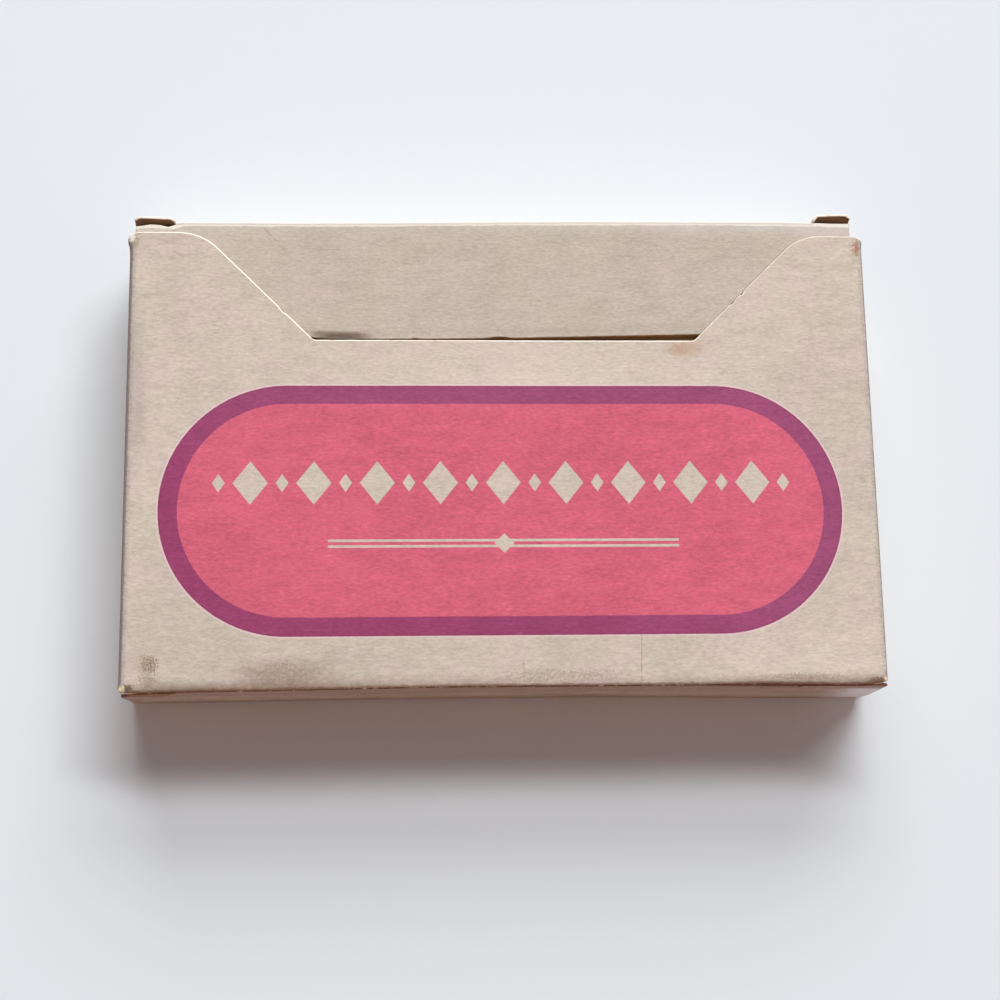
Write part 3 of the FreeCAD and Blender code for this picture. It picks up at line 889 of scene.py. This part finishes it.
# ---- outlines ----
def notch_edge(x, clearance=0):
    """Height of the notch's outline above X, moved into the notch by a clearance."""
    x = abs(x - NOTCH_SHIFT)
    shoulder_run = NOTCH_SHOULDER_RADIUS * sin(pi / 8) / cos(pi / 8)
    arc_end = NOTCH_HALF_WIDTH + SHOULDER_Y - NOTCH_Y + shoulder_run
    radius = NOTCH_SHOULDER_RADIUS + clearance
    arc_y = SHOULDER_Y - NOTCH_SHOULDER_RADIUS
    if x >= arc_end:
        return SHOULDER_Y + clearance
    if x > arc_end - radius * sqrt(0.5):
        return arc_y + sqrt(radius ** 2 - (x - arc_end) ** 2)
    slope = NOTCH_Y + x - NOTCH_HALF_WIDTH + clearance * sqrt(2)
    corner = NOTCH_CORNER_RADIUS
    corner_x = NOTCH_HALF_WIDTH - corner * sin(pi / 8) / cos(pi / 8)
    if clearance == 0 and corner_x < x < corner_x + corner * sqrt(0.5):
        return NOTCH_Y + corner - sqrt(corner ** 2 - (x - corner_x) ** 2)
    return max(slope, NOTCH_Y)


def nicks(x):
    """Depth of the small tears in the edge of the notch."""
    return sum(depth * np.exp(-((x - place) / NICK_HALF_WIDTH) ** 2) for place, depth in NOTCH_NICKS)


# ---- the tube ----
# (out, back) of the points across a rounded fold, from its flat side on
FOLD_ARC = [(CORNER_RADIUS * sin(a), CORNER_RADIUS * (1 - cos(a))) for a in np.linspace(0, pi / 2, 7)[1:]]
SIDE_LOW_Y = DUST_BOTTOM_Y + CREASE_REACH
SIDE_HIGH_Y = DUST_TOP_Y - CREASE_REACH


def front_panel():
    edge = HALF_WIDTH - CORNER_RADIUS
    marks = [-edge, -57, -50.2, -34.2, -32.6, 32.6, 34.2, 50.2, 57, edge]
    sizes = [0.6, 0.6, 0.4, 0.16, 1, 0.16, 0.4, 0.6, 0.6]
    flat = np.concatenate([[-edge]] + [steps([low, high], size)[1:]
                                       for low, high, size in zip(marks, marks[1:], sizes)])
    columns = ([(-edge - out, DEPTH - back, 0) for out, back in FOLD_ARC[::-1]]
               + [(x, DEPTH, 1) for x in flat]
               + [(edge + out, DEPTH - back, 0) for out, back in FOLD_ARC])
    shares = np.concatenate([[0], np.linspace(0.009, 0.04, 5), np.linspace(0.06, 0.92, 44),
                             np.linspace(0.935, 0.991, 7), [1]])
    grid = []
    for x, z, bowed in columns:
        rounded = FRONT_CORNER_DROP * ease((abs(x) - 63.4) / 1.35)
        low = along(x, FRONT_LOW) + 0.05 * ripple(x, 0, 2.5, 4) + rounded
        high = notch_edge(x) + 0.03 * ripple(x, 9, 1.5, 5) - nicks(x) - rounded
        near_fold = ease((abs(x) - 62.6) / 2)
        grid.append([(x + side_lean(x, z) + near_fold * corner_wear(x, y), y, z + bowed * front_bow(x, y))
                     for y in low + (high - low) * shares])
    dress(board("front_panel_board", grid, FRONT_BOARD, "bt", 0.24), "tube", "front_panel")


def back_panel():
    low_y, high_y = BOTTOM_AXIS_Y + CREASE_REACH, LID_AXIS_Y - CREASE_REACH
    right, left = HALF_WIDTH - CORNER_RADIUS, SEAM_X + CORNER_RADIUS
    xs = [right, *steps([left + 0.02, right - 0.02], 2)[::-1], left]
    columns = ([(right + out, back) for out, back in FOLD_ARC[::-1]] + [(x, 0) for x in xs]
               + [(left - out, back) for out, back in FOLD_ARC])
    grid = []
    for x, z in columns:
        low, high = SIDE_LOW_Y, SIDE_HIGH_Y
        if left < x < right:
            low, high = low_y + along(x, BOTTOM_BOW), high_y
        grid.append([(x, y, z) for y in np.linspace(low, high, 30)])
    dress(board("back_panel_board", grid, PLAIN_BOARD, "bt"), "tube", "back_panel")


def side_panel(side):
    """Side panel. The left one ends in the raw edge of the seam."""
    zs = steps([CORNER_RADIUS if side > 0 else 0, DEPTH - CORNER_RADIUS], 1.2)
    grid = [[(side * HALF_WIDTH + side_lean(side * HALF_WIDTH, z)
              + ease((z - 15.4) / 1.3) * corner_wear(side, y), y, z) for z in zs[::side]]
            for y in steps([SIDE_LOW_Y, SIDE_HIGH_Y], 2)]
    name, cut = ("right", "lr") if side > 0 else ("left", "lrt")
    dress(board(f"{name}_side_board", grid, PLAIN_BOARD, cut), "tube", f"{name}_side_panel")


def glue_flap():
    zs = steps([CORNER_RADIUS, GLUE_FLAP_Z], 1.5)
    tapers = GLUE_FLAP_TAPER * (zs - CORNER_RADIUS) / (GLUE_FLAP_Z - CORNER_RADIUS)
    grid = [[(SEAM_X, SIDE_HIGH_Y - taper - (SIDE_HIGH_Y - SIDE_LOW_Y - 2 * taper) * share, z)
             for z, taper in zip(zs, tapers)] for share in np.linspace(0, 1, 30)]
    dress(board("glue_flap_board", grid, PLAIN_BOARD), "tube", "glue_flap")


# ---- closures ----
def lid_panel():
    fold = SLIT_START - 0.02
    xs = both_sides(steps([-fold, fold], 2), steps([SLIT_START, LID_HALF_WIDTH], 0.35))[::-1]
    low_z = BACK_CREASE_Z + CREASE_REACH
    grid = []
    for x in xs:
        in_ear = abs(x) > SLIT_START - 0.01
        drop = EAR_CORNER_DROP * (1 - ease(LID_HALF_WIDTH - abs(x)))
        top_z = EAR_TIP_Z - drop if in_ear else LID_CREASE_Z - CREASE_REACH
        column = []
        for z in low_z + (top_z - low_z) * np.linspace(0, 1, 26):
            y = LID_Y + along(x, LID_LEAN) * ease(z / LID_CREASE_Z)
            if in_ear:
                y += ear_rise(x) * max(0, (z - EAR_BEND_Z) / 7.5) ** 2
            column.append((x + along(x, LID_SLIDE) * ease(z / LID_CREASE_Z), y, z))
        grid.append(column)
    dress(board("lid_board", grid, PLAIN_BOARD, rounding=0.12), "lid", "lid_panel")


def lid_tuck_flap():
    xs = both_sides(steps([-30.5, 30.5], 0.5), steps([31.5, 36], 0.15), steps([36.4, 49], 0.4),
                    steps([49.5, SLIT_START - 0.1], 0.4), steps([SLIT_START + 0.1, TUCK_HALF_WIDTH], 0.3))
    shares = np.concatenate([[0], np.linspace(0.006, 0.09, 14), np.linspace(0.12, 0.985, 26), [1]])
    grid = []
    for x in xs:
        moved = x + along(x, LID_SLIDE)
        low = notch_edge(moved, TUCK_CLEARANCE) - 0.5 * nicks(moved)
        low += 0.025 * ripple(x, 3, 1.2, 6) * (low > NOTCH_Y + 3) + 0.06 * (low < NOTCH_Y + 1)
        high = LID_AXIS_Y - CREASE_REACH + along(x, LID_LEAN)
        if abs(x) > SLIT_START:
            high += 0.1 + along(moved, SLIT_LIP)
        grid.append([(moved, y, TUCK_Z - flap_sink(moved, y)) for y in low + (high - low) * shares])
    dress(board("lid_tuck_board", grid, TUCK_BOARD, "lrb", 0.07), "lid_tuck", "lid_tuck_flap")


def dust_flap(side, end):
    """Dust flap folded in from a side panel. end is 1 at the lid and -1 at the bottom."""
    axis_y = DUST_TOP_Y if end > 0 else DUST_BOTTOM_Y
    tip_start = DUST_LENGTH - DUST_TIP
    tip_reaches = tip_start + DUST_TIP * np.sin(np.linspace(0, pi / 2, 9)[1:])
    grid = []
    for reach in [*steps([CREASE_REACH, tip_start], 1.2), *tip_reaches]:
        tip = max(0, reach - tip_start) / DUST_TIP
        rounding = 1.8 * (1 - sqrt(max(0, 1 - tip ** 2)))
        low = DUST_LOW_Z + max(0, reach - DUST_STRAIGHT) / 1.15 + 0.7 * rounding
        high = DUST_HIGH_Z - 0.5 * reach / DUST_LENGTH - rounding
        y = axis_y + end * (BOARD / 2 - 0.25 * ease((reach - 4) / 10))
        grid.append([(side * (DUST_AXIS_X - reach)
                      + side_lean(side * DUST_AXIS_X, z) * (1 - reach / DUST_LENGTH), y, z)
                     for z in (low + (high - low) * np.linspace(0, 1, 14))[::-side * end]])
    name = f"{'right' if side > 0 else 'left'}_{'top' if end > 0 else 'bottom'}_dust"
    cut = "btr" if side * end > 0 else "btl"
    dress(board(f"{name}_board", grid, PLAIN_BOARD, cut), name, f"{name}_flap")


def bottom_panel():
    fold = BOTTOM_TUCK_HALF_WIDTH
    xs = both_sides(steps([-fold, fold], 2), steps([fold + 0.25, LID_HALF_WIDTH], 0.5))
    low_z = BACK_CREASE_Z + CREASE_REACH
    grid = []
    for x in xs:
        drop = EAR_CORNER_DROP * (1 - ease((LID_HALF_WIDTH - abs(x)) / 1.2))
        in_ear = abs(x) > fold + 0.01
        top_z = BOTTOM_EAR_TIP_Z - drop if in_ear else BOTTOM_FOLD_Z - BOTTOM_FOLD_REACH
        column = []
        for z in low_z + (top_z - low_z) * np.linspace(0, 1, 24):
            pushed_out = 0.85 * ease((-x - 53) / 5) * ease((z - 6) / 9)
            bulge = np.exp(-((x + 62.2) / 0.9) ** 2 - ((z - 9) / 2.6) ** 2)
            y = BOTTOM_Y + along(x, BOTTOM_BOW) - pushed_out - bulge
            column.append((x + along(x, BOTTOM_SLIDE) * ease(z / 3.5), y, z))
        grid.append(column)
    dress(board("bottom_board", grid, BOTTOM_BOARD, rounding=0.12), "bottom", "bottom_panel")


def bottom_tuck_flap():
    width, height = BOTTOM_TUCK_CORNER
    grid = []
    for x in steps([-BOTTOM_TUCK_HALF_WIDTH, -46, 46, BOTTOM_TUCK_HALF_WIDTH], 1):
        low = BOTTOM_AXIS_Y + BOTTOM_FOLD_REACH + along(x, BOTTOM_BOW)
        corner = max(0, abs(x) - BOTTOM_TUCK_HALF_WIDTH + width) / width
        high = BOTTOM_Y + BOTTOM_TUCK_LENGTH - height * (1 - sqrt(max(0, 1 - corner ** 2)))
        grid.append([(x, y, BOTTOM_FOLD_Z + BOARD / 2)
                     for y in low + (high - low) * np.linspace(0, 1, 12)])
    dress(board("bottom_tuck_board", grid, PLAIN_BOARD, rounding=0.1), "bottom_tuck", "bottom_tuck_flap")


def creases():
    wide = steps([-LID_HALF_WIDTH, LID_HALF_WIDTH], 2)
    lid_fold = steps([-SLIT_START, SLIT_START], 1)
    tuck_fold = steps([-BOTTOM_TUCK_HALF_WIDTH, BOTTOM_TUCK_HALF_WIDTH], 2)

    def bow(x):
        return 0, along(x, BOTTOM_BOW), 0

    def lean(x):
        return along(x, LID_SLIDE), along(x, LID_LEAN), 0

    crease("lid_crease_strip", (0, LID_AXIS_Y, BACK_CREASE_Z), (0, -1, 0), (0, 0, 1),
           wide, PLAIN_BOARD)
    crease("bottom_crease_strip", (0, BOTTOM_AXIS_Y, BACK_CREASE_Z), (0, 1, 0),
           (0, 0, 1), wide, BOTTOM_BOARD, bow, "second")
    crease("lid_fold_strip", (0, LID_AXIS_Y, LID_CREASE_Z), (0, 0, -1),
           (0, -1, 0), lid_fold, FOLD_BOARD, lean, "first", roll=0.38)
    crease("bottom_fold_strip", (0, BOTTOM_AXIS_Y, BOTTOM_FOLD_Z),
           (0, 0, -1), (0, 1, 0), tuck_fold, BOTTOM_BOARD, bow, "first", reach=BOTTOM_FOLD_REACH)
    for side, side_name in ((1, "right"), (-1, "left")):
        for end_name, y, inward in (("top", DUST_TOP_Y, -1), ("bottom", DUST_BOTTOM_Y, 1)):
            crease(f"{side_name}_{end_name}_dust_strip",
                   (side * DUST_AXIS_X, y, 0), (0, inward, 0), (-side, 0, 0),
                   steps([DUST_LOW_Z, DUST_HIGH_Z], 1.5), PLAIN_BOARD,
                   lambda z, x=side * DUST_AXIS_X: (side_lean(x, z), 0, 0), "first")


front_panel()
back_panel()
side_panel(1)
side_panel(-1)
glue_flap()
lid_panel()
lid_tuck_flap()
for side in (1, -1):
    for end in (1, -1):
        dust_flap(side, end)
bottom_panel()
bottom_tuck_flap()
creases()


def paint(node, material):
    """The frame's own solid, with a better finish."""
    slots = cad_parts[node].data.materials
    slots.clear()
    slots.append(material)


paint("index_cards", card_material())
paint("seam_glue", glue_material())


# ---- the room ----
FLOOR_COLOUR = linear(232, 236, 239)
ROOM_COLOUR = (0.36, 0.205, 0.145, 1)
WINDOW_SIDE_COLOUR = (0.185, 0.19, 0.2, 1)
LAMP_DISTANCE = 6
DAYLIGHT = (0.93, 0.97, 1)


def floor():
    bpy.ops.mesh.primitive_plane_add(size=6, location=(0, 0, -0.00002))
    plane = bpy.context.object
    plane.name = "floor"
    inputs = {"Base Color": FLOOR_COLOUR, "Roughness": 0.9, "Specular IOR Level": 0}
    plane.data.materials.append(new_material("floor_white", inputs)[0])


def window(name, azimuth, elevation, size, energy):
    """Soft rectangular light. azimuth is measured from +Y towards +X, both in degrees."""
    light = bpy.data.lights.new(name, "AREA")
    light.shape = "RECTANGLE"
    light.size, light.size_y = size
    light.energy = energy
    light.color = DAYLIGHT
    lamp = add_object(name, light)
    turn, rise = radians(azimuth), radians(elevation)
    lamp.location = Vector((sin(turn) * cos(rise), cos(turn) * cos(rise), sin(rise))) * LAMP_DISTANCE
    lamp.rotation_mode = "QUATERNION"
    lamp.rotation_quaternion = (-Vector(lamp.location)).to_track_quat("-Z", "Y")


def sky():
    """Pale room, dimmer and warmer on the side away from the windows."""
    world = bpy.data.worlds.new("room")
    bpy.context.scene.world = world
    world.use_nodes = True
    tree = world.node_tree
    parts = add_node(tree, "SeparateXYZ", {0: add_node(tree, "TexCoord").outputs["Generated"]})
    fade = add_node(tree, "MapRange", {"Value": parts.outputs["Y"], "From Min": -0.7, "From Max": 0.1},
                    interpolation_type="SMOOTHSTEP")
    light = add_node(tree, "Mix", {"Factor": fade.outputs["Result"], "A": ROOM_COLOUR,
                                   "B": WINDOW_SIDE_COLOUR}, data_type="RGBA")
    background = tree.nodes["Background"]
    put(background.inputs["Color"], light.outputs["Result"])
    shown = add_node(tree, "Background", {"Color": FLOOR_COLOUR})
    choose = add_node(tree, "MixShader", {0: add_node(tree, "LightPath").outputs["Is Camera Ray"],
                                          1: background.outputs[0], 2: shown.outputs[0]})
    put(tree.nodes["World Output"].inputs["Surface"], choose.outputs[0])


def camera():
    """Camera from its measured turn and place, looking down at the front panel."""
    turn = (Matrix.Rotation(0.002604, 3, "Z") @ Matrix.Rotation(0.06442, 3, "Y")
            @ Matrix.Rotation(-0.22236, 3, "X"))
    offset = Vector((-0.213, 3.951, -340.39))
    place = -(turn.transposed() @ offset) - Vector((0, 1.4, 0))
    data = bpy.data.cameras.new("camera")
    data.sensor_width = 36
    data.lens = 67.49
    data.clip_start, data.clip_end = 0.01, 20
    bpy.context.scene.camera = add_object("camera", data)
    bpy.context.scene.camera.matrix_world = (Matrix.Translation(place * MM)
                                             @ turn.transposed().to_4x4())


floor()
window("high_window", 22, 47.8, (4.65, 0.87), 241)
window("low_window", 8, 26, (5.2, 2.2), 313)
sky()
camera()
bpy.context.scene.view_settings.view_transform = "Standard"
